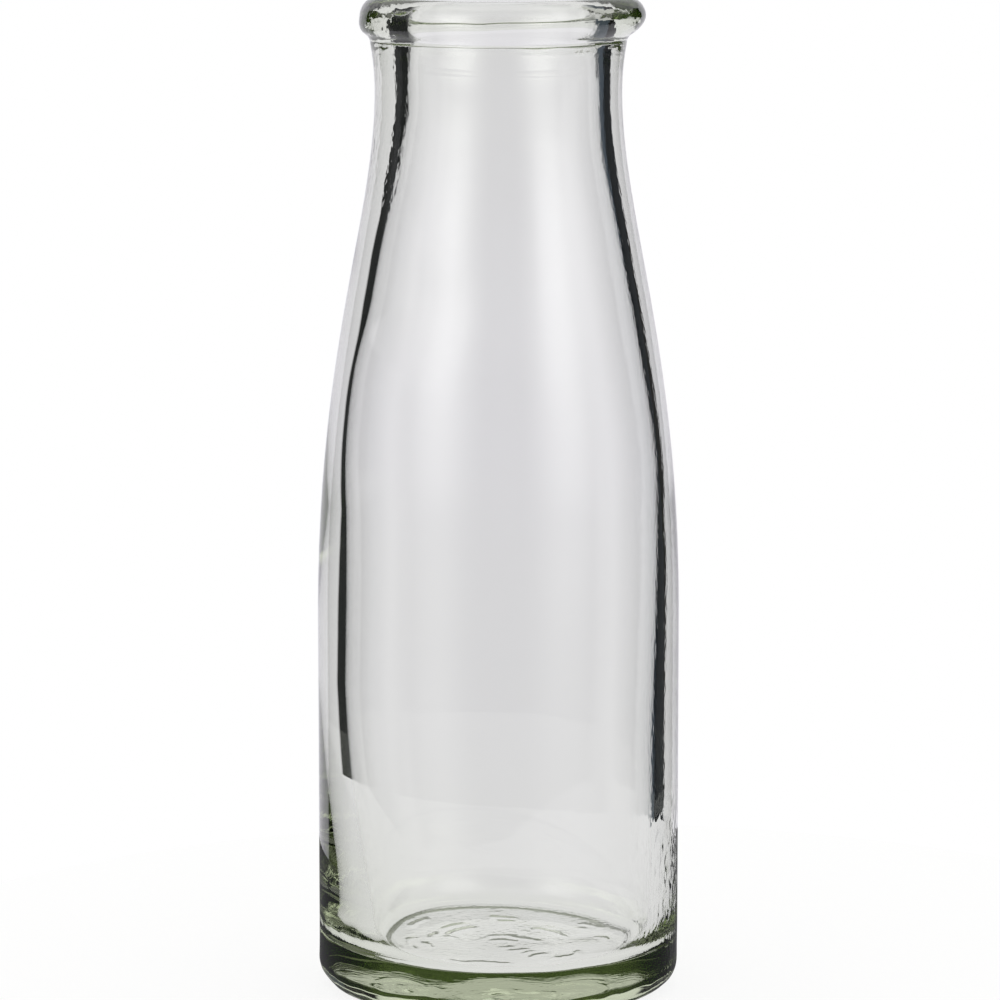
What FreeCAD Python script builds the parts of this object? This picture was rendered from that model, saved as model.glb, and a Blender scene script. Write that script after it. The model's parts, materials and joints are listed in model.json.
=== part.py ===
"""A small clear glass milk bottle with a rolled lip, a long sloping shoulder and a thick base.

Lengths are in millimetres, +Z is up, and the origin is the middle of the plane that the bottle stands on.
The bottle is turned from one section of its glass wall. Level planes then divide the glass into the zones
that a bottle maker names: base, body wall, shoulder, neck and lip ring. The zones meet face to face.
"""
import FreeCAD
import Part
import math
import os

# Outside of the body
body_radius = 33.0
body_height = 68.3
heel_round = 5.2

# Long S curve from the straight side up to the waist of the neck
shoulder_rise = 96.2
shoulder_pull = 50.0
neck_pull = 22.9

# Mouth, from the waist up to the rim
mouth_rise = 17.0
mouth_bore_radius = 17.3
neck_flare = 0.8
lip_bead_radius = 3.65
rim_land = 1.3
rim_inner_round = 3.5

# Thickness of the glass
side_wall = 4.34
neck_wall = 5.0
floor_height = 7.8
floor_corner_width = 3.5
floor_corner_rise = 7.0

# Inside of the shoulder, which bends in higher up than the outside does
hollow_shoulder_height = 89.8
hollow_shoulder_pull = 26.5
hollow_neck_pull = 16.4

# Lower side, where the glass thickens towards the floor
thickening = 2.4
thickening_top = 58.0
thickening_bend = 2 / 3

# Shallow flat push-up under the base, inside the ring that the bottle stands on
standing_ring = 1.6
push_up_slope = 1.6
push_up_depth = 0.3

# Length of the neck zone below the lip
neck_length = 28.0

# Levels and radii that follow from the sizes above
waist_height = body_height + shoulder_rise
rim_height = waist_height + mouth_rise
body_bore_radius = body_radius - side_wall
waist_radius = mouth_bore_radius + neck_wall
heel_inner_radius = body_radius - heel_round
neck_top_radius = waist_radius + neck_flare
bead_centre_radius = mouth_bore_radius + rim_inner_round + rim_land
bead_centre_height = rim_height - lip_bead_radius
lip_radius = bead_centre_radius + lip_bead_radius
bead_offset = neck_top_radius - bead_centre_radius
lip_seat_height = bead_centre_height - math.sqrt(lip_bead_radius**2 - bead_offset**2)
base_zone_height = floor_height + floor_corner_rise
neck_foot_height = lip_seat_height - neck_length


def at(radius, height):
    """A point of the section, which lies in the XZ plane."""
    return FreeCAD.Vector(radius, 0, height)


def line(start, end):
    return Part.LineSegment(start, end).toShape()


def arc(start, middle, end):
    return Part.Arc(start, middle, end).toShape()


def quarter_round(start, end, centre, radius):
    """A quarter circle, by way of the point halfway round it."""
    outward = (start - centre) + (end - centre)
    outward.normalize()
    return arc(start, centre + outward * radius, end)


def rise_arc(start, end):
    """An arc that leaves its start straight up and ends a little further out."""
    out = end.x - start.x
    up = end.z - start.z
    radius = (out**2 + up**2) / (2 * out)
    half_turn = math.asin(up / radius) / 2
    middle = at(start.x + radius * (1 - math.cos(half_turn)), start.z + radius * math.sin(half_turn))
    return arc(start, middle, end)


def bezier(poles):
    """A curve that leaves and reaches its end points along the lines to the poles between them."""
    curve = Part.BezierCurve()
    curve.setPoles(poles)
    return curve.toShape()


def s_curve(foot, top, foot_pull, top_pull):
    """The shoulder's curve, upright at both ends."""
    return bezier([foot, at(foot.x, foot.z + foot_pull), at(top.x, top.z - top_pull), top])


def ogee(start, end):
    """Two arcs that lead from one level to another, level at both ends."""
    across = (end.x - start.x) / 2
    rise = (end.z - start.z) / 2
    radius = (across**2 + rise**2) / (2 * rise)
    half_turn = math.asin(abs(across) / radius) / 2
    sideways = math.copysign(radius * math.sin(half_turn), across)
    upward = radius * (1 - math.cos(half_turn))
    middle = at(start.x + across, start.z + rise)
    return [
        arc(start, at(start.x + sideways, start.z + upward), middle),
        arc(middle, at(end.x - sideways, end.z - upward), end),
    ]


def outside():
    """Edges of the outer surface, from the middle of the underside up to the rim."""
    ring_inner = at(heel_inner_radius - standing_ring, 0)
    push_up_edge = at(ring_inner.x - push_up_slope, push_up_depth)
    heel_inner = at(heel_inner_radius, 0)
    heel_outer = at(body_radius, heel_round)
    heel_centre = at(heel_inner_radius, heel_round)
    shoulder_foot = at(body_radius, body_height)
    waist = at(waist_radius, waist_height)
    lip_seat = at(neck_top_radius, lip_seat_height)
    lip_side = at(lip_radius, bead_centre_height)
    return [
        line(at(0, push_up_depth), push_up_edge),
        *ogee(ring_inner, push_up_edge),
        line(ring_inner, heel_inner),
        quarter_round(heel_inner, heel_outer, heel_centre, heel_round),
        line(heel_outer, shoulder_foot),
        s_curve(shoulder_foot, waist, shoulder_pull, neck_pull),
        rise_arc(waist, lip_seat),
        arc(lip_seat, lip_side, at(bead_centre_radius, rim_height)),
    ]


def inside():
    """Edges of the rim's top and of the hollow, from the rim down to the middle of the floor."""
    round_centre = at(mouth_bore_radius + rim_inner_round, rim_height - rim_inner_round)
    round_top = at(mouth_bore_radius + rim_inner_round, rim_height)
    bore_top = at(mouth_bore_radius, rim_height - rim_inner_round)
    bore_foot = at(mouth_bore_radius, waist_height)
    shoulder_foot = at(body_bore_radius, hollow_shoulder_height)
    side_foot = at(body_bore_radius, thickening_top)
    bend = at(body_bore_radius, base_zone_height + thickening_bend * (thickening_top - base_zone_height))
    wall_foot = at(body_bore_radius - thickening, base_zone_height)
    lean = thickening / (bend.z - base_zone_height)
    corner = at(wall_foot.x - lean * floor_corner_rise, floor_height)
    floor_edge = at(corner.x - floor_corner_width, floor_height)
    return [
        line(at(bead_centre_radius, rim_height), round_top),
        quarter_round(round_top, bore_top, round_centre, rim_inner_round),
        line(bore_top, bore_foot),
        s_curve(shoulder_foot, bore_foot, hollow_shoulder_pull, hollow_neck_pull),
        line(shoulder_foot, side_foot),
        bezier([side_foot, bend, wall_foot]),
        bezier([wall_foot, corner, floor_edge]),
        line(floor_edge, at(0, floor_height)),
    ]


def turned_glass():
    """The whole bottle, turned about its axis."""
    axis_edge = line(at(0, floor_height), at(0, push_up_depth))
    section = Part.Face(Part.Wire(Part.__sortEdges__(outside() + inside() + [axis_edge])))
    return section.revolve(FreeCAD.Vector(0, 0, 0), FreeCAD.Vector(0, 0, 1), 360)


def zone_of(glass, bottom, top):
    """The glass between two level planes."""
    slab_radius = body_radius + lip_radius
    slab = Part.makeCylinder(slab_radius, top - bottom, at(0, bottom))
    return glass.common(slab).Solids[0]


zones = {
    "base": (0, base_zone_height),
    "body_wall": (base_zone_height, body_height),
    "shoulder": (body_height, neck_foot_height),
    "neck": (neck_foot_height, lip_seat_height),
    "lip_ring": (lip_seat_height, rim_height),
}

os.makedirs("parts", exist_ok=True)
bottle = turned_glass()
for name, (bottom, top) in zones.items():
    zone = zone_of(bottle, bottom, top)
    zone.exportStep(f"parts/{name}.step")
    print(f"{name}: {zone.Volume / 1000:.1f} cm3, from {bottom:.2f} to {top:.2f} mm")
print(f"bottle: {2 * body_radius:.1f} mm across and {rim_height:.1f} mm high")
print(f"glass: {bottle.Volume / 1000:.1f} cm3")
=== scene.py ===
# %% [markdown]
# # A clear glass milk bottle
# The bottle is one moulded piece of soda-lime glass: a rolled lip, a short neck, a long sloping shoulder,
# a straight round body and a thick base. The solids of the frame give its sizes. This lesson builds one
# seamless glass skin over them, with the small flaws that make moulded glass look like glass, and then a
# studio whose light and dark areas draw its edges.

# %% Load the frame
import json
import math
import bpy
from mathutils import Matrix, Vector, noise


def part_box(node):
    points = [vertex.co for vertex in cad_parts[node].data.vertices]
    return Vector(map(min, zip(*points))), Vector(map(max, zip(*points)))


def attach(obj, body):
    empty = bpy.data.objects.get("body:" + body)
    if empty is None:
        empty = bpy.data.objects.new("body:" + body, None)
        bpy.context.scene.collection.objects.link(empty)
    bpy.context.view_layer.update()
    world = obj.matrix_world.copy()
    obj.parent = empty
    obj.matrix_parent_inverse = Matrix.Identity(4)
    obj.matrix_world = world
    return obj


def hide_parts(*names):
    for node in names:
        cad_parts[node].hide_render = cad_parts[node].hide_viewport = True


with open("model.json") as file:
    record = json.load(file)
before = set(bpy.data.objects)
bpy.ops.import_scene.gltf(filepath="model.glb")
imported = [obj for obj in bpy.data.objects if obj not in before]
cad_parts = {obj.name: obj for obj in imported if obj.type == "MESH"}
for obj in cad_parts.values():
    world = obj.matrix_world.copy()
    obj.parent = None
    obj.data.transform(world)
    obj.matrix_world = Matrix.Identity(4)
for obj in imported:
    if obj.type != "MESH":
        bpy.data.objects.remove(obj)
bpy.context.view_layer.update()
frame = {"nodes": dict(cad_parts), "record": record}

from types import SimpleNamespace

print("solids:", sorted(frame["nodes"]))

# %% [markdown]
# ## Sizes
# The frame gives a box for each solid and the bore of the mouth, so the widest radii and the main levels are
# read from there, and the skin can't drift away from them. It doesn't give curves or the thickness of the
# glass, so those are written here, at the sizes that the solids have. Only the crease under the lip is
# rounder than theirs, because molten glass leaves no sharp corner.

# %% Outside of the bottle
MM = 0.001
body_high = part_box("body_wall")[1]
lip_low, lip_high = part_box("lip_ring")

body_radius = body_high.x
body_top = body_high.z
lip_radius = lip_high.x
lip_seat = lip_low.z
rim_height = lip_high.z
waist_height = 164.5 * MM
waist_radius = 22.3 * MM
neck_top_radius = 23.1 * MM
shoulder_pull = 50.0 * MM
neck_pull = 22.9 * MM
heel_round = 5.2 * MM
bead_round = 3.65 * MM
crease_round = 2.0 * MM
push_up_radius = 26.2 * MM
push_up_depth = 0.3 * MM
push_up_slope = 1.6 * MM
print(f"body {2 * body_radius / MM:.1f} mm across, rim at {rim_height / MM:.1f} mm")

# %% Inside of the bottle
mouth = next(mount for mount in frame["record"]["mounts"] if mount["name"] == "mouth_bore")

bore_radius = mouth["dims"]["r_mm"] * MM
rim_round = 3.5 * MM
inner_radius = 28.66 * MM
inner_top = 89.8 * MM
inner_pull = 26.5 * MM
inner_neck_pull = 16.4 * MM
floor_height = 7.8 * MM
corner_width = 3.5 * MM
corner_rise = 7.0 * MM
taper_top = 58.0 * MM
taper_in = 2.4 * MM
taper_bend = 2 / 3
print(f"side {(body_radius - inner_radius) / MM:.2f} mm thick, floor at {floor_height / MM:.1f} mm")

# %% [markdown]
# ## The section of the glass
# A bottle is round, so half of its section is enough. It could be drawn as a curve object with a Screw
# modifier, but then its rings couldn't be pushed about one point at a time. So the section is a list of
# points, walked once: from the middle of the floor, up the inside, over the rim and down the outside to the
# middle of the underside. Each stretch is a line, an arc or one Bezier curve, cut into steps that are short
# enough for refraction to look smooth.

# %% The hollow, from the floor to the top of the bore
FLOOR_STEPS, CORNER_STEPS, TAPER_STEPS = 10, 24, 40
SIDE_STEPS, INNER_SHOULDER_STEPS, BORE_STEPS = 30, 96, 16


def line(start, end, steps):
    return [start.lerp(end, i / steps) for i in range(1, steps + 1)]


def bend_curve(start, bend, end, steps):
    """A curve that leaves its start towards the bend and comes to its end from there."""
    shares = [i / steps for i in range(1, steps + 1)]
    return [start * (1 - t)**2 + bend * 2 * t * (1 - t) + end * t * t for t in shares]


def s_curve(foot, top, foot_pull, top_pull, steps):
    """The shoulder's curve from the straight side up to the waist, upright at both ends."""
    a, b = foot, foot + Vector((0, foot_pull))
    c, d = top - Vector((0, top_pull)), top
    shares = [i / steps for i in range(1, steps + 1)]
    return [a * (1 - t)**3 + b * 3 * t * (1 - t)**2 + c * 3 * t * t * (1 - t) + d * t**3 for t in shares]


def inside_section():
    wall_foot = Vector((inner_radius - taper_in, floor_height + corner_rise))
    wall_top = Vector((inner_radius, taper_top))
    bend = wall_top.lerp(Vector((inner_radius, wall_foot.y)), 1 - taper_bend)
    lean = (bend.x - wall_foot.x) / (bend.y - wall_foot.y)
    corner = Vector((wall_foot.x - lean * corner_rise, floor_height))
    floor_edge = corner - Vector((corner_width, 0))
    side_top = Vector((inner_radius, inner_top))
    bore_foot = Vector((bore_radius, waist_height))
    points = line(Vector((0, floor_height)), floor_edge, FLOOR_STEPS)
    points += bend_curve(floor_edge, corner, wall_foot, CORNER_STEPS)
    points += bend_curve(wall_foot, bend, wall_top, TAPER_STEPS)
    points += line(wall_top, side_top, SIDE_STEPS)
    points += s_curve(side_top, bore_foot, inner_pull, inner_neck_pull, INNER_SHOULDER_STEPS)
    points += line(bore_foot, Vector((bore_radius, rim_height - rim_round)), BORE_STEPS)
    return points


inside = inside_section()
print(f"inside: {len(inside)} steps")

# %% The rim, from the bore over the bead to the crease under it
RIM_STEPS, LAND_STEPS, BEAD_STEPS, CREASE_STEPS = 12, 3, 19, 7


def arc(centre, radius, first_deg, last_deg, steps):
    angles = [math.radians(first_deg + (last_deg - first_deg) * i / steps) for i in range(1, steps + 1)]
    return [centre + radius * Vector((math.cos(a), math.sin(a))) for a in angles]


def rim_section():
    inner = Vector((bore_radius + rim_round, rim_height - rim_round))
    bead = Vector((lip_radius - bead_round, rim_height - bead_round))
    reach = bead_round + crease_round
    across = neck_top_radius + crease_round - bead.x
    crease_angle = -math.degrees(math.acos(across / reach))
    crease = bead + Vector((across, -math.sqrt(reach**2 - across**2)))
    points = arc(inner, rim_round, 180, 90, RIM_STEPS)
    points += line(points[-1], Vector((bead.x, rim_height)), LAND_STEPS)
    points += arc(bead, bead_round, 90, crease_angle, BEAD_STEPS)
    points += arc(crease, crease_round, 180 + crease_angle, 180, CREASE_STEPS)
    return points


rim = rim_section()
print(f"rim: {len(rim)} steps")

# %% The outside, from the crease to the middle of the underside
FLARE_STEPS, SHOULDER_STEPS, BODY_STEPS, HEEL_STEPS = 12, 80, 34, 14
RING_STEPS, SLOPE_STEPS, UNDERSIDE_STEPS = 4, 10, 34


def smooth_step(value, low, high):
    """0 below the low value, 1 above the high one, and an even curve between them."""
    share = min(max((value - low) / (high - low), 0), 1)
    return share * share * (3 - 2 * share)


def outside_section(crease):
    out = crease.x - waist_radius
    up = crease.y - waist_height
    flare = (out**2 + up**2) / (2 * out)
    lean = math.degrees(math.asin(up / flare))
    foot = Vector((body_radius, body_top))
    waist = Vector((waist_radius, waist_height))
    heel = Vector((body_radius - heel_round, heel_round))
    points = arc(waist + Vector((flare, 0)), flare, 180 - lean, 180, FLARE_STEPS)
    points += s_curve(foot, waist, shoulder_pull, neck_pull, SHOULDER_STEPS)[-2::-1]
    points.append(foot)
    points += line(foot, Vector((body_radius, heel_round)), BODY_STEPS)
    points += arc(heel, heel_round, 0, -90, HEEL_STEPS)
    points += line(points[-1], Vector((push_up_radius, 0)), RING_STEPS)
    for i in range(1, SLOPE_STEPS + 1):
        t = i / SLOPE_STEPS
        points.append(Vector((push_up_radius - push_up_slope * t, push_up_depth * smooth_step(t, 0, 1))))
    points += line(points[-1], Vector((0, push_up_depth)), UNDERSIDE_STEPS)
    return points


outside = outside_section(rim[-1])
print(f"outside: {len(outside)} steps")

# %% [markdown]
# ## Flaws of moulded glass
# The outside is shaped by an iron mould and is nearly true. The inside is only shaped by the blown air, so
# it wanders: the bore sits a little to one side, the wall has thick spots and its surface ripples. Those
# flaws bend the dark edges that make glass look like glass. A displacement texture could give ripples too,
# but not a bore that leans, so each flaw is a small push of the true shape here. The noise gives the same
# value at the same place in every run.

# %% Ripples, thick spots and lumps
RIPPLES = ((9.0 * MM, 0.012 * MM), (3.0 * MM, 0.005 * MM))
RIPPLE_CALM = 0.35
THICK_SPOTS = ((53.0 * MM, 14.0 * MM, 0.3 * MM, 0), (127.0 * MM, 6.0 * MM, 0.6 * MM, -1))
LIP_RIPPLE = (6.0 * MM, 0.1 * MM)
LIP_RIPPLE_ROOM = (-4.0 * MM, 2.0 * MM)
HEEL_RIPPLES = ((9.0 * MM, 0.3 * MM, 14.0 * MM), (3.0 * MM, 0.1 * MM, 7.0 * MM))
HEEL_FULL = 1 / 3


def ripple(place):
    """The inside ripples most in the neck; the body is calmer."""
    calm = RIPPLE_CALM + (1 - RIPPLE_CALM) * smooth_step(place.z, inner_top, waist_height - inner_neck_pull)
    return calm * sum(depth * noise.noise(place / width) for width, depth in RIPPLES)


def thick_spots(place):
    """Rings where the wall is thicker: all round at side 0, on the left at -1."""
    total = 0
    for level, half_height, depth, side in THICK_SPOTS:
        facing = 1 if side == 0 else smooth_step(side * place.x, 0, body_radius / 2)
        total += facing * depth * math.exp(-((place.z - level) / half_height)**2 / 2)
    return total


def lip_ripple(place):
    """The lip is a little lumpy."""
    width, depth = LIP_RIPPLE
    return depth * noise.noise(place / width) * smooth_step(place.z - lip_seat, *LIP_RIPPLE_ROOM)


def heel_ripple(place):
    """The heel's skin is lumpy, and most so at the foot."""
    total = 0
    for width, depth, top in HEEL_RIPPLES:
        total += depth * noise.noise(place / width) * (1 - smooth_step(place.z, top * HEEL_FULL, top))
    return total


print("thick spots at", [round(level / MM) for level, *_ in THICK_SPOTS], "mm")

# %% Marks under the base
MARKS = (3.2 * MM, 0.3 * MM)
MARK_WOBBLE = 0.6
MARK_WIDTH = (0.3, 1.0)
MARK_BREAKS = (0.05, 0.3)
MARK_PATCH = 7.0 * MM
MARK_SEED = Vector((7, 3, 0))
WEAR_PATCH = 9.0 * MM
WEAR_SEED = Vector((2, 9, 0))
WEAR_SHARE = 0.5


def underside(place):
    """Height of the swirl that the shears and the mould leave under the base, in broken strokes."""
    radius = math.hypot(place.x, place.y)
    pitch, depth = MARKS
    turn = math.atan2(place.y, place.x) / (2 * math.pi)
    wobble = MARK_WOBBLE * noise.noise(place / MARK_PATCH)
    swirl = smooth_step(math.cos(2 * math.pi * (radius / pitch + turn + wobble)), *MARK_WIDTH)
    broken = smooth_step(noise.noise(place / MARK_PATCH + MARK_SEED), *MARK_BREAKS)
    within = smooth_step(push_up_radius - push_up_slope - radius, 0, pitch)
    wear = WEAR_SHARE * noise.noise(place / WEAR_PATCH + WEAR_SEED)
    return depth * swirl * broken * within + push_up_depth * wear * smooth_step(
        push_up_radius - radius, 0, push_up_slope)


print(f"marks: strokes {MARKS[1] / MM:.1f} mm high, {MARKS[0] / MM:.1f} mm apart")

# %% How far each point wanders
BORE_SHIFT = 0.25 * MM
BORE_SNAKE = (0.2 * MM, 80.0 * MM, 76.0 * MM)
FOOT_SHIFT = 1.1 * MM
FOOT_BEND = 1.5
MOUTH_SHIFT = 0.25 * MM
MOUTH_ROOM = (155.0 * MM, 165.0 * MM)
LIP_LEAN = 0.75 * MM
LEAN_ROOM = (0.0 * MM, 4.0 * MM)
MOULD_SHARE = 0.15


def wander(place, outerness):
    """Shift of a point of the true turned shape; outerness is 0 on the inside and 1 on the outside."""
    swing, level, length = BORE_SNAKE
    below = min(max((taper_top - place.z) / (taper_top - floor_height - corner_rise), 0), 1)
    bore = BORE_SHIFT + swing * math.cos(2 * math.pi * (place.z - level) / length)
    bore += FOOT_SHIFT * below**FOOT_BEND + MOUTH_SHIFT * smooth_step(place.z, *MOUTH_ROOM)
    lean = LIP_LEAN * smooth_step(place.z - lip_seat, *LEAN_ROOM)
    sideways = outerness * lean + (1 - outerness) * bore
    inner_push = ripple(place) - thick_spots(place)
    outer_push = MOULD_SHARE * ripple(place) + heel_ripple(place)
    push = (1 - outerness) * inner_push + outerness * outer_push + lip_ripple(place)
    outward = Vector((place.x, place.y, 0))
    if outward.length > 0:
        outward.normalize()
    upward = underside(place) if outerness == 1 and place.z < heel_round else 0
    return Vector((sideways, 0, upward)) + outward * push


floor_shift = wander(Vector((0, 0, floor_height)), 0).x
print(f"the floor of the hollow sits {floor_shift / MM:.2f} mm to one side")

# %% [markdown]
# ## The glass skin
# Real glass has an outer and an inner surface with glass between them, and light bends at both. A single
# sheet with a Solidify modifier would give both, but with one thickness all over. So the closed section is
# turned about the axis into one closed mesh. Inside the rim the flaws of the hollow give way to those of the
# outside.

# %% Turn the section
SEGMENTS = 224
RIM_BLEND = 0.5


def turned_mesh(name):
    outerness = [0.0] * len(inside)
    outerness += [smooth_step(i, 0, len(rim) * RIM_BLEND) for i in range(len(rim))]
    outerness += [1.0] * len(outside)
    section = inside + rim + outside
    floor_middle = Vector((0, 0, floor_height))
    points = [floor_middle + wander(floor_middle, 0)]
    for (radius, height), share in zip(section[:-1], outerness):
        for k in range(SEGMENTS):
            turn = 2 * math.pi * k / SEGMENTS
            place = Vector((radius * math.cos(turn), radius * math.sin(turn), height))
            points.append(place + wander(place, share))
    points.append(Vector((0, 0, section[-1].y)))
    rings = len(section) - 1
    faces = [(0, 1 + k, 1 + (k + 1) % SEGMENTS) for k in range(SEGMENTS)]
    for ring in range(rings - 1):
        low = 1 + ring * SEGMENTS
        for k in range(SEGMENTS):
            after = (k + 1) % SEGMENTS
            faces.append((low + k, low + SEGMENTS + k, low + SEGMENTS + after, low + after))
    last = 1 + (rings - 1) * SEGMENTS
    faces += [(len(points) - 1, last + (k + 1) % SEGMENTS, last + k) for k in range(SEGMENTS)]
    mesh = bpy.data.meshes.new(name)
    mesh.from_pydata([tuple(p) for p in points], [], faces)
    mesh.update()
    mesh.shade_smooth()
    return mesh


scene = bpy.context.scene
bottle = bpy.data.objects.new("bottle_glass", turned_mesh("bottle_glass"))
scene.collection.objects.link(bottle)
print(f"glass: {len(bottle.data.vertices)} points, {len(bottle.data.polygons)} faces")

# %% [markdown]
# ## Soda-lime glass
# Bottles are soda-lime glass, pressed and blown in an iron mould and then fire polished. It bends light with
# an IOR of about 1.52. Iron in the sand gives a faint green that only shows through a long path, so the
# colour is an absorption inside the glass and not a tint on its surface. Fire polish leaves no roughness,
# but the mould's grain stays as faint waves. Those are too fine to model as faces, so they are bump skins.

# %% Colours and nodes
SMOOTH = {"interpolation_type": "SMOOTHSTEP"}
TIMES = {"operation": "MULTIPLY"}
COLOURS = {"data_type": "RGBA"}
WHITE = "#FFFFFF"
BLACK = "#000000"


def linear(hex_colour):
    """An sRGB hex colour as the linear values that shaders take."""
    parts = [int(hex_colour[i:i + 2], 16) / 255 for i in (1, 3, 5)]
    return [p / 12.92 if p <= 0.04045 else ((p + 0.055) / 1.055)**2.4 for p in parts] + [1.0]


def add_node(tree, kind, settings=None, inputs=None, stops=()):
    """A node with its settings and any ramp stops; an input is a plain value or another node's output."""
    node = tree.nodes.new(kind)
    for key, value in (settings or {}).items():
        setattr(node, key, value)
    for key, value in (inputs or {}).items():
        if isinstance(value, bpy.types.NodeSocket):
            tree.links.new(value, node.inputs[key])
        else:
            node.inputs[key].default_value = value
    if stops:
        node.color_ramp.interpolation = "EASE"
    for i, (place, colour) in enumerate(stops):
        if i == len(node.color_ramp.elements):
            node.color_ramp.elements.new(1.0)
        node.color_ramp.elements[i].position = place
        node.color_ramp.elements[i].color = colour
    return node


print("white is", linear(WHITE), "in linear values")

# %% The skins of the glass
# Each skin has its grain along X, Y and Z and its depth, and then two ranges, along X and along Z, over
# which it sets in, all in mm. A mould's real grain is too fine for the render, so it is drawn coarser.
ALL_ROUND = (-40, -39)
ALL_LEVELS = (-2, -1)
SKINS = {
    # Streaks fray the dark line on the right.
    "streaks": ((0.6, 0.6, 1.8), 0.006, (8, 18), ALL_LEVELS),
    # Pits break up the light low on the right.
    "pits": ((2.0, 2.0, 3.0), 0.2, (29, 31), (40, 22)),
    # Stipple under the foot breaks up what it mirrors.
    "stipple": ((1.2, 1.2, 1.2), 0.05, ALL_ROUND, (1.6, 0.8)),
    # Lines that were drawn out with the lip streak both of its ends.
    "left lip lines": ((1.5, 8.0, 1.5), 0.15, (-14, -20), (170, 174)),
    "right lip lines": ((1.5, 8.0, 1.5), 0.15, (14, 20), (170, 174)),
    # Drips notch the dark line on the left of the neck.
    "drips": ((1.0, 1.0, 2.0), 0.03, (-14, -18), (140, 150)),
}
print("skins:", ", ".join(SKINS))

# %% The glass material
GLASS_COLOUR = "#C2D676"
GLASS_DENSITY = 12.0
GLASS_IOR = 1.52
NOISE_DETAIL = 1.0


def soda_lime_glass():
    """Clear to look through, with sharp bright streaks and dark edges, and green where it is thick."""
    material = bpy.data.materials.new("soda_lime_glass")
    material.use_nodes = True
    tree = material.node_tree
    tree.nodes.clear()
    place = add_node(tree, "ShaderNodeTexCoord").outputs["Object"]
    place = add_node(tree, "ShaderNodeVectorMath", {"operation": "SCALE"}, {
        0: place, "Scale": 1 / MM}).outputs[0]
    axes = add_node(tree, "ShaderNodeSeparateXYZ", None, {0: place}).outputs
    surface = add_node(tree, "ShaderNodeBsdfPrincipled", None, {
        "Base Color": linear(WHITE), "Roughness": 0.0, "IOR": GLASS_IOR, "Transmission Weight": 1.0})
    skin = None
    for grain, depth, side, level in SKINS.values():
        spot = add_node(tree, "ShaderNodeVectorMath", {"operation": "DIVIDE"}, {0: place, 1: grain})
        height = add_node(tree, "ShaderNodeTexNoise", None, {
            "Vector": spot.outputs[0], "Scale": 1.0, "Detail": NOISE_DETAIL}).outputs["Fac"]
        for axis, (start, end) in (("X", side), ("Z", level)):
            area = add_node(tree, "ShaderNodeMapRange", SMOOTH, {
                "Value": axes[axis], "From Min": start, "From Max": end})
            height = add_node(tree, "ShaderNodeMath", TIMES, {0: height, 1: area.outputs[0]}).outputs[0]
        bump = add_node(tree, "ShaderNodeBump", None, {
            "Height": height, "Strength": 1.0, "Distance": depth * MM})
        if skin:
            tree.links.new(skin, bump.inputs["Normal"])
        skin = bump.outputs["Normal"]
    tree.links.new(skin, surface.inputs["Normal"])
    body = add_node(tree, "ShaderNodeVolumeAbsorption", None, {
        "Color": linear(GLASS_COLOUR), "Density": GLASS_DENSITY})
    add_node(tree, "ShaderNodeOutputMaterial", None, {
        "Surface": surface.outputs["BSDF"], "Volume": body.outputs["Volume"]})
    return material


bottle.data.materials.append(soda_lime_glass())
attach(bottle, "root")
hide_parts("base", "body_wall", "shoulder", "neck", "lip_ring")
print("material:", bottle.data.materials[0].name)

# %% [markdown]
# ## The studio
# Clear glass has no colour of its own: the eye reads it from what it bends and mirrors. Photographers
# therefore put a pale wall behind a bottle, dark cards at both sides to draw dark lines just inside its
# edges, and tall soft lamps in front for the pale streaks. Cards and lamps could be objects, but the camera
# would see them and they would shade the table. So the room is painted on the world, by the direction of
# each ray. The camera itself sees plain white, the table is lit evenly, and only rays that met the glass see
# the room.

# %% Light that glass passes on
# Thick glass mirrors a ray many times before it lets it out, so rays need more bounces than the default.
GLASS_BOUNCES = 64
scene.view_settings.view_transform = "Standard"
scene.cycles.max_bounces = GLASS_BOUNCES
scene.cycles.transmission_bounces = GLASS_BOUNCES
scene.cycles.glossy_bounces = GLASS_BOUNCES
print("bounces:", GLASS_BOUNCES)

# %% Facts of a ray
# Bearings are in degrees from straight behind the bottle, minus to the left; levels are degrees above level.
# A ramp takes shares from 0 to 1, so the stops of a ramp are turned from degrees into shares of its span.
TURN = 360
HALF_TURN = 180
IN_DEGREES = {"operation": "DEGREES"}


def stops_of(angles, span):
    return [(angle / span + 0.5, linear(colour)) for angle, colour in angles]


def ray_facts(tree):
    """Where a ray goes, as degrees and as shares, and whether it was mirrored."""
    path = add_node(tree, "ShaderNodeLightPath").outputs
    aim = add_node(tree, "ShaderNodeTexCoord").outputs["Generated"]
    aim = add_node(tree, "ShaderNodeSeparateXYZ", None, {0: aim}).outputs
    bearing = add_node(tree, "ShaderNodeMath", {"operation": "ARCTAN2"}, {0: aim["X"], 1: aim["Y"]})
    bearing = add_node(tree, "ShaderNodeMath", IN_DEGREES, {0: bearing.outputs[0]}).outputs[0]
    level = add_node(tree, "ShaderNodeMath", {"operation": "ARCSINE"}, {0: aim["Z"]})
    level = add_node(tree, "ShaderNodeMath", IN_DEGREES, {0: level.outputs[0]}).outputs[0]
    around = add_node(tree, "ShaderNodeMapRange", None, {
        "Value": bearing, "From Min": -TURN / 2, "From Max": TURN / 2}).outputs[0]
    upward = add_node(tree, "ShaderNodeMapRange", None, {
        "Value": level, "From Min": -HALF_TURN / 2, "From Max": HALF_TURN / 2}).outputs[0]
    turned = add_node(tree, "ShaderNodeMath", {"operation": "ABSOLUTE"}, {0: bearing}).outputs[0]
    mirrored = add_node(tree, "ShaderNodeMapRange", None, {"Value": path["Glossy Depth"]}).outputs[0]
    return SimpleNamespace(
        path=path, level=level, turned=turned, around=around, upward=upward, mirrored=mirrored)


print(f"a ramp spans {TURN} degrees around or {HALF_TURN} degrees upward")

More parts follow.
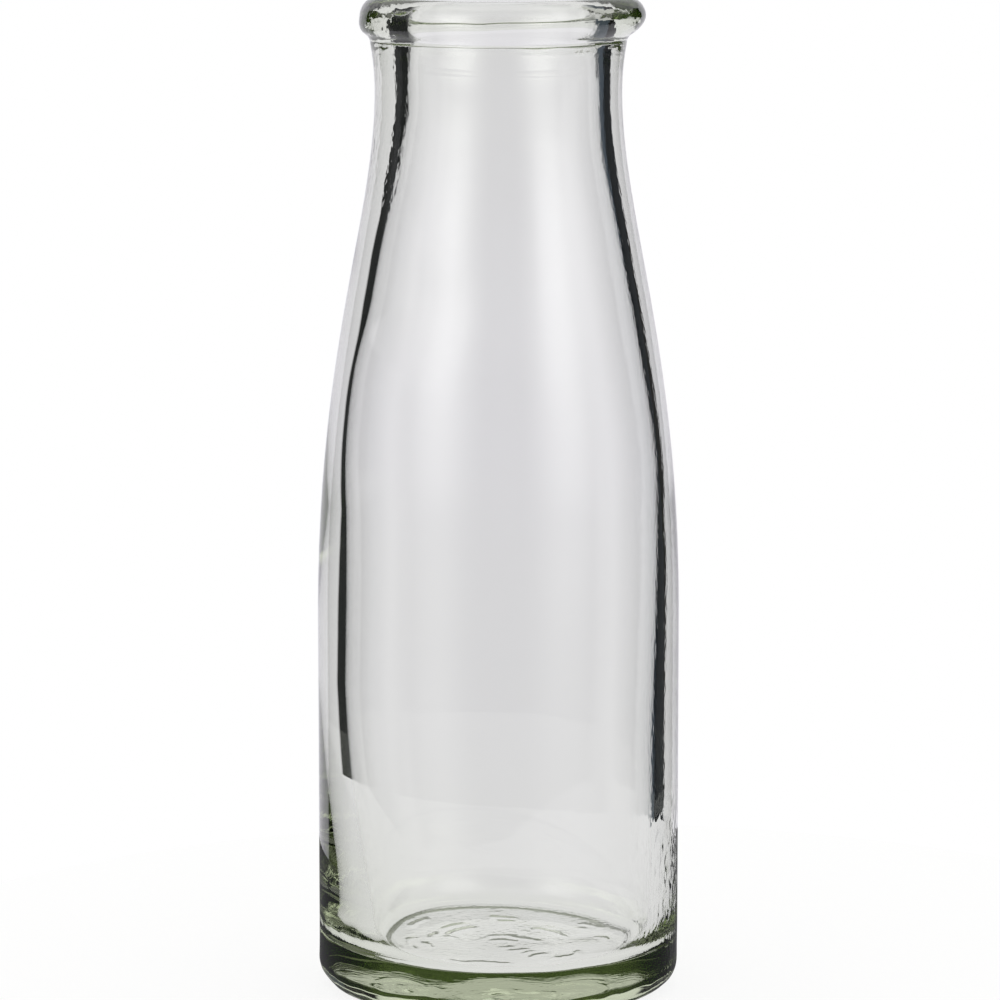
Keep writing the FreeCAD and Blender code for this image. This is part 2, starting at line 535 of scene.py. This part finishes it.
# %% The pale wall and the dark cards
# Rays that only pass through see the cards from their foot upwards. Mirrored rays see all of them, and a
# wall that is dimmer higher up.
WALL = "#EBE9F0"
HIGH_WALL = "#CAC8CE"
CEILING = "#B4B9AC"
LEFT_CARD = "#1A1C1D"
RIGHT_CARD = "#101011"
FAR_CARD = "#424A55"
UPWARD = ((40, WALL), (60, CEILING))
UPWARD_MIRRORED = ((6, WALL), (16, HIGH_WALL), (40, HIGH_WALL), (60, CEILING))
AROUND = (
    (-87, WALL), (-63, LEFT_CARD), (-40.3, LEFT_CARD), (-38.7, WALL),
    (30.5, WALL), (32.1, RIGHT_CARD), (47.7, RIGHT_CARD), (49.3, FAR_CARD), (63, FAR_CARD), (87, WALL),
)
CARD_LEVELS = ((-22.8, BLACK), (-21.2, WHITE), (13.2, WHITE), (14.8, BLACK))
CARD_FOOT = (1, 4)


def wall_and_cards(tree, ray):
    """The wall and its cards; a colour mix has its colours at inputs 6 and 7 and their mix at output 2."""
    through, mirrored, level = [
        add_node(tree, "ShaderNodeValToRGB", None, {0: ray.upward}, stops_of(angles, HALF_TURN)).outputs[0]
        for angles in (UPWARD, UPWARD_MIRRORED, CARD_LEVELS)]
    wall = add_node(tree, "ShaderNodeMix", COLOURS, {0: ray.mirrored, 6: through, 7: mirrored}).outputs[2]
    cards = add_node(tree, "ShaderNodeValToRGB", None, {0: ray.around}, stops_of(AROUND, TURN)).outputs[0]
    foot = add_node(tree, "ShaderNodeMapRange", SMOOTH, {
        "Value": ray.level, "From Min": CARD_FOOT[0], "From Max": CARD_FOOT[1]}).outputs[0]
    foot = add_node(tree, "ShaderNodeMath", {"operation": "MAXIMUM"}, {0: ray.mirrored, 1: foot}).outputs[0]
    share = add_node(tree, "ShaderNodeMath", TIMES, {0: level, 1: foot}).outputs[0]
    return add_node(tree, "ShaderNodeMix", COLOURS, {0: share, 6: wall, 7: cards}).outputs[2]


print(f"cards: {len(AROUND)} stops around the bottle")

# %% The dark front of the room
# The room behind the camera is dark, or the front of the bottle would mirror a white haze. Rays that come
# straight off the outside see the dark start nearer to the sides. It reaches higher towards the camera.
FRONT_DARK = "#1C1C1C"
FRONT_START = (94, 106)
NEAR_FRONT = 24
FRONT_FOOT = (-36, -24)
FRONT_TOP = ((144, 13), (156, 35))
FRONT_BLUR = 6


def dark_front(tree, ray, back):
    near_turned = add_node(tree, "ShaderNodeMath", {"operation": "MULTIPLY_ADD"}, {
        0: ray.path["Is Reflection Ray"], 1: NEAR_FRONT, 2: ray.turned}).outputs[0]
    (low_turn, low_top), (high_turn, high_top) = FRONT_TOP
    top = add_node(tree, "ShaderNodeMapRange", SMOOTH, {
        "Value": ray.turned, "From Min": low_turn, "From Max": high_turn,
        "To Min": low_top, "To Max": high_top})
    above = add_node(tree, "ShaderNodeMath", {"operation": "SUBTRACT"}, {0: ray.level, 1: top.outputs[0]})
    edges = (
        (above.outputs[0], (FRONT_BLUR, -FRONT_BLUR)),
        (near_turned, FRONT_START),
        (ray.level, FRONT_FOOT),
    )
    front = ray.mirrored
    for value, (start, end) in edges:
        edge = add_node(tree, "ShaderNodeMapRange", SMOOTH, {
            "Value": value, "From Min": start, "From Max": end})
        front = add_node(tree, "ShaderNodeMath", TIMES, {0: front, 1: edge.outputs[0]}).outputs[0]
    return add_node(tree, "ShaderNodeMix", COLOURS, {0: front, 6: back, 7: linear(FRONT_DARK)}).outputs[2]


print(f"the front is dark from {FRONT_START[0]} degrees on")

# %% Lamps, and light that was mirrored many times
# Both lamps stand in front, one at each side, and fade out towards their edges. A ray that was mirrored many
# times comes out dim, and less so where it comes from high up, so thick glass looks dark but not black.
LAMP_BEARINGS = (-135, 130)
LAMP_HALF_WIDTH = 37
LAMP_LEVEL = 20
LAMP_HALF_HEIGHT = 43
LAMP_LIGHT = 2.3
LAMP_BOUNCES = (1, 6)
DEEP_BOUNCES = (2, 3)
DEEP_LIGHT = 0.2
DEEP_GLOW = 0.35
DEEP_LEVELS = (18, 30)


def soft_lamp(middle, half):
    return [(middle - half, BLACK), (middle, WHITE), (middle + half, BLACK)]


def lamp_light(tree, ray):
    lamps = [stop for middle in LAMP_BEARINGS for stop in soft_lamp(middle, LAMP_HALF_WIDTH)]
    levels = soft_lamp(LAMP_LEVEL, LAMP_HALF_HEIGHT)
    bearing = add_node(tree, "ShaderNodeValToRGB", None, {0: ray.around}, stops_of(lamps, TURN))
    level = add_node(tree, "ShaderNodeValToRGB", None, {0: ray.upward}, stops_of(levels, HALF_TURN))
    fade = add_node(tree, "ShaderNodeMapRange", SMOOTH, {
        "Value": ray.path["Glossy Depth"], "From Min": LAMP_BOUNCES[0], "From Max": LAMP_BOUNCES[1],
        "To Min": LAMP_LIGHT, "To Max": 0.0})
    light = ray.mirrored
    for share in (bearing, level, fade):
        light = add_node(tree, "ShaderNodeMath", TIMES, {0: light, 1: share.outputs[0]}).outputs[0]
    return light


def deep_light(tree, ray):
    lift = add_node(tree, "ShaderNodeMapRange", SMOOTH, {
        "Value": ray.level, "From Min": DEEP_LEVELS[0], "From Max": DEEP_LEVELS[1],
        "To Min": DEEP_LIGHT, "To Max": DEEP_GLOW}).outputs[0]
    return add_node(tree, "ShaderNodeMapRange", SMOOTH, {
        "Value": ray.path["Glossy Depth"], "From Min": DEEP_BOUNCES[0], "From Max": DEEP_BOUNCES[1],
        "To Min": 1.0, "To Max": lift}).outputs[0]


print(f"lamps: {len(LAMP_BEARINGS)}, brightest {LAMP_LEVEL} degrees up")

# %% Put the room together
ROOM_LIGHT = 1.105


def room():
    world = bpy.data.worlds.new("studio_room")
    world.use_nodes = True
    tree = world.node_tree
    tree.nodes.clear()
    ray = ray_facts(tree)
    seen = dark_front(tree, ray, wall_and_cards(tree, ray))
    glass_ray = add_node(tree, "ShaderNodeMath", {"operation": "MAXIMUM"}, {
        0: ray.path["Is Glossy Ray"], 1: ray.path["Is Transmission Ray"]}).outputs[0]
    even = [ROOM_LIGHT] * 3 + [1.0]
    colour = add_node(tree, "ShaderNodeMix", COLOURS, {0: glass_ray, 6: even, 7: seen}).outputs[2]
    colour = add_node(tree, "ShaderNodeMix", COLOURS, {
        0: ray.path["Is Camera Ray"], 6: colour, 7: linear(WHITE)}).outputs[2]
    walls = add_node(tree, "ShaderNodeBackground", None, {
        "Color": colour, "Strength": deep_light(tree, ray)})
    lamps = add_node(tree, "ShaderNodeBackground", None, {
        "Color": linear(WHITE), "Strength": lamp_light(tree, ray)})
    both = add_node(tree, "ShaderNodeAddShader", None, {0: walls.outputs[0], 1: lamps.outputs[0]})
    add_node(tree, "ShaderNodeOutputWorld", None, {"Surface": both.outputs[0]})
    return world


scene.world = room()
print("world:", scene.world.name)

# %% [markdown]
# ## The floor
# A round table top of white laminate, paper pressed in resin with a matt face, carries the bottle and
# catches its soft shadow. A plane that only diffuses light would come out grey beside the white background,
# so the camera sees it mixed with plain white. Glass sees it as pale as the wall, so that the bottle's body
# stays clear. Only what the outside mirrors of it is dimmer, and so is what comes out of the thick heel
# after many turns inside the glass; for those rays a painted shade darkens the table most near the bottle's
# foot.

# %% White laminate
TABLE_COLOUR = "#F4F4F2"
TABLE_WHITE = 0.85
TABLE_MIRROR = 0.15
TABLE_HEEL_SHADE = 0.15
TABLE_FAR = 0.8
# Painted shade: rays that turned many times in the glass see the table darkest within the first radius of
# the bottle's axis, around its heel, and paler past the second.
HEEL_SHADE = (36 * MM, 44 * MM)


def white_laminate():
    """Matt white, almost without a shade of its own; the soft shadow is all that the camera sees of it, and
    glass sees a glow with a painted shade near the bottle's foot.
    """
    material = bpy.data.materials.new("white_laminate")
    material.use_nodes = True
    tree = material.node_tree
    tree.nodes.clear()
    path = add_node(tree, "ShaderNodeLightPath").outputs
    matt = add_node(tree, "ShaderNodeBsdfDiffuse", None, {"Color": linear(TABLE_COLOUR)})
    white = add_node(tree, "ShaderNodeEmission", None, {"Strength": 1.0})
    share = add_node(tree, "ShaderNodeMath", TIMES, {0: path["Is Camera Ray"], 1: TABLE_WHITE})
    shown = add_node(tree, "ShaderNodeMixShader", None, {
        0: share.outputs[0], 1: matt.outputs[0], 2: white.outputs[0]})
    place = add_node(tree, "ShaderNodeNewGeometry").outputs["Position"]
    reach = add_node(tree, "ShaderNodeVectorMath", {"operation": "LENGTH"}, {0: place}).outputs["Value"]
    # Painted shade on the glow that glass sees: darkest around the bottle's foot, paler further out.
    shade = add_node(tree, "ShaderNodeMapRange", SMOOTH, {
        "Value": reach, "From Min": HEEL_SHADE[0], "From Max": HEEL_SHADE[1],
        "To Min": TABLE_HEEL_SHADE, "To Max": TABLE_FAR})
    deep = add_node(tree, "ShaderNodeMapRange", SMOOTH, {
        "Value": path["Glossy Depth"], "From Min": DEEP_BOUNCES[0], "From Max": DEEP_BOUNCES[1],
        "To Min": 1.0, "To Max": shade.outputs[0]})
    mirror = add_node(tree, "ShaderNodeMapRange", None, {
        "Value": path["Is Reflection Ray"], "To Min": 1.0, "To Max": TABLE_MIRROR})
    glow = add_node(tree, "ShaderNodeMath", TIMES, {0: deep.outputs[0], 1: mirror.outputs[0]})
    lit = add_node(tree, "ShaderNodeEmission", None, {"Color": linear(WALL), "Strength": glow.outputs[0]})
    both = add_node(tree, "ShaderNodeMixShader", None, {
        0: path["Is Glossy Ray"], 1: shown.outputs[0], 2: lit.outputs[0]})
    add_node(tree, "ShaderNodeOutputMaterial", None, {"Surface": both.outputs[0]})
    return material


laminate = white_laminate()
print("material:", laminate.name)

# %% The table top
# It lies a hair below the bottle, so that the two surfaces never share a plane.
TABLE_RADIUS = 138 * MM
TABLE_SHIFT = 12 * MM
TABLE_DROP = -0.05 * MM


def table_top():
    turns = [2 * math.pi * k / SEGMENTS for k in range(SEGMENTS)]
    middle = Vector((TABLE_SHIFT, 0, TABLE_DROP))
    corners = [middle + TABLE_RADIUS * Vector((math.cos(t), math.sin(t), 0)) for t in turns]
    mesh = bpy.data.meshes.new("table_top")
    mesh.from_pydata(corners, [], [tuple(range(SEGMENTS))])
    mesh.materials.append(laminate)
    table = bpy.data.objects.new("table_top", mesh)
    scene.collection.objects.link(table)
    return table


table_top()
print(f"table: {2 * TABLE_RADIUS / MM:.0f} mm across")

# %% [markdown]
# ## The camera
# The photograph looks slightly down at the bottle through a long lens, and crops its rim and its foot. A
# camera that is aimed with a constraint would hide how far it dips, so its place and dip are written out.

# %% Camera
FRAME_PIXELS = 1000
FOCAL_PIXELS = 4990.8
CAMERA_BACK = 900 * MM
CAMERA_HEIGHT = 225 * MM
CAMERA_DIP = 0.149
CAMERA_SHIFT = 0.00155
camera_data = bpy.data.cameras.new("camera")
camera_data.sensor_width = 36.0
camera_data.lens = FOCAL_PIXELS / FRAME_PIXELS * camera_data.sensor_width
camera_data.shift_x = CAMERA_SHIFT
camera = bpy.data.objects.new("camera", camera_data)
camera.location = (0, -CAMERA_BACK, CAMERA_HEIGHT)
camera.rotation_euler = (math.pi / 2 - CAMERA_DIP, 0, 0)
scene.collection.objects.link(camera)
scene.camera = camera
print(f"camera: {camera_data.lens:.0f} mm lens, dips {math.degrees(CAMERA_DIP):.1f} degrees")
